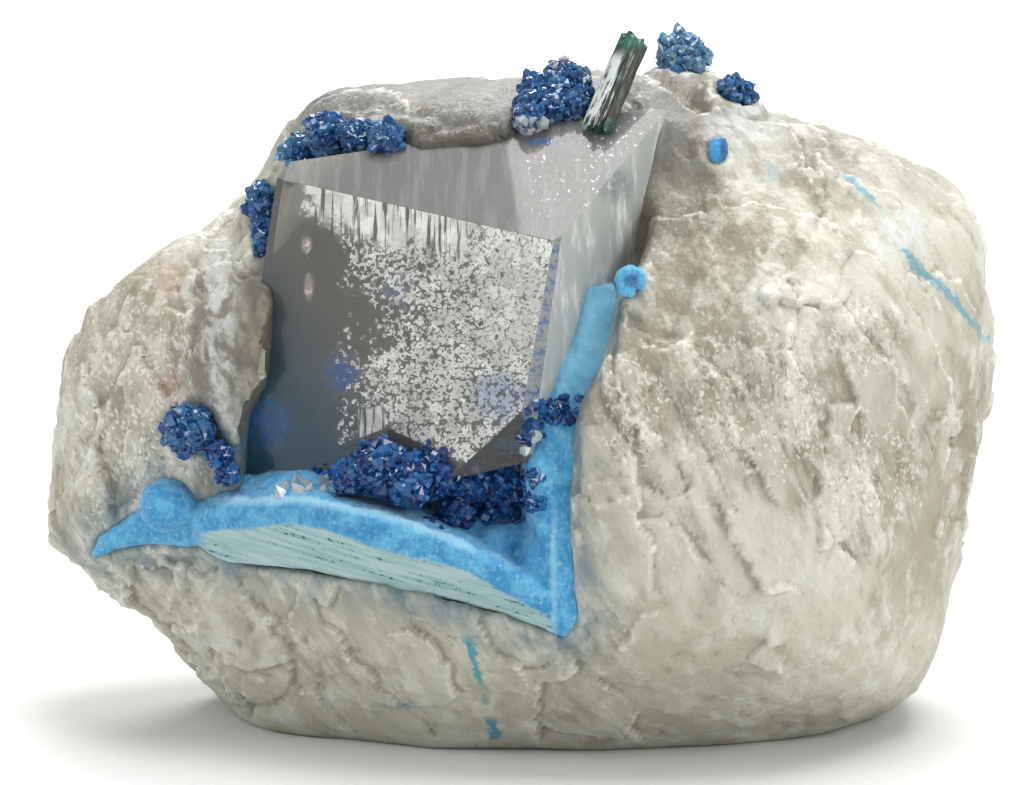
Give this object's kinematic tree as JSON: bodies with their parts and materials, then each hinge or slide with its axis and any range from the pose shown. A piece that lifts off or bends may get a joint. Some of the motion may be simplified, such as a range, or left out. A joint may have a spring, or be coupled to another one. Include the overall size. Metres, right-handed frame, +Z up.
{
  "type": "shattuckite in quartz mineral specimen",
  "caption": "Lump of milky quartz with a hollow lined in azure shattuckite, holding a clear quartz rhomb, deep-blue crystals and a green malachite prism",
  "frame": {"origin": "middle of the specimen's box, on the flat base", "axes": "+X to the right across the display face, along the specimen's longest side; +Y towards its back; +Z up"},
  "size_m": [0.0702, 0.0366, 0.0518],
  "materials": {
    "milky_quartz": "glassy to sugary broken surface",
    "clear_quartz": "glassy, partly etched",
    "azure_shattuckite": "matt, fibrous",
    "blue_quartz": "glassy crystal faces",
    "malachite": "silky, striated"
  },
  "bodies": {
    "root": {"quartz_matrix": "milky_quartz", "clear_crystal": "clear_quartz", "shattuckite_lining": "azure_shattuckite", "azure_bead": "azure_shattuckite", "azure_broken_bead": "azure_shattuckite", "druse_crust": "blue_quartz", "top_blue_cluster": "blue_quartz", "top_blue_ball": "blue_quartz", "right_blue_patch": "blue_quartz", "rim_blue_cluster": "blue_quartz", "left_edge_cluster": "blue_quartz", "left_blue_ball": "blue_quartz", "left_dark_patch": "blue_quartz", "malachite_prism": "malachite"}
  },
  "joints": []
}
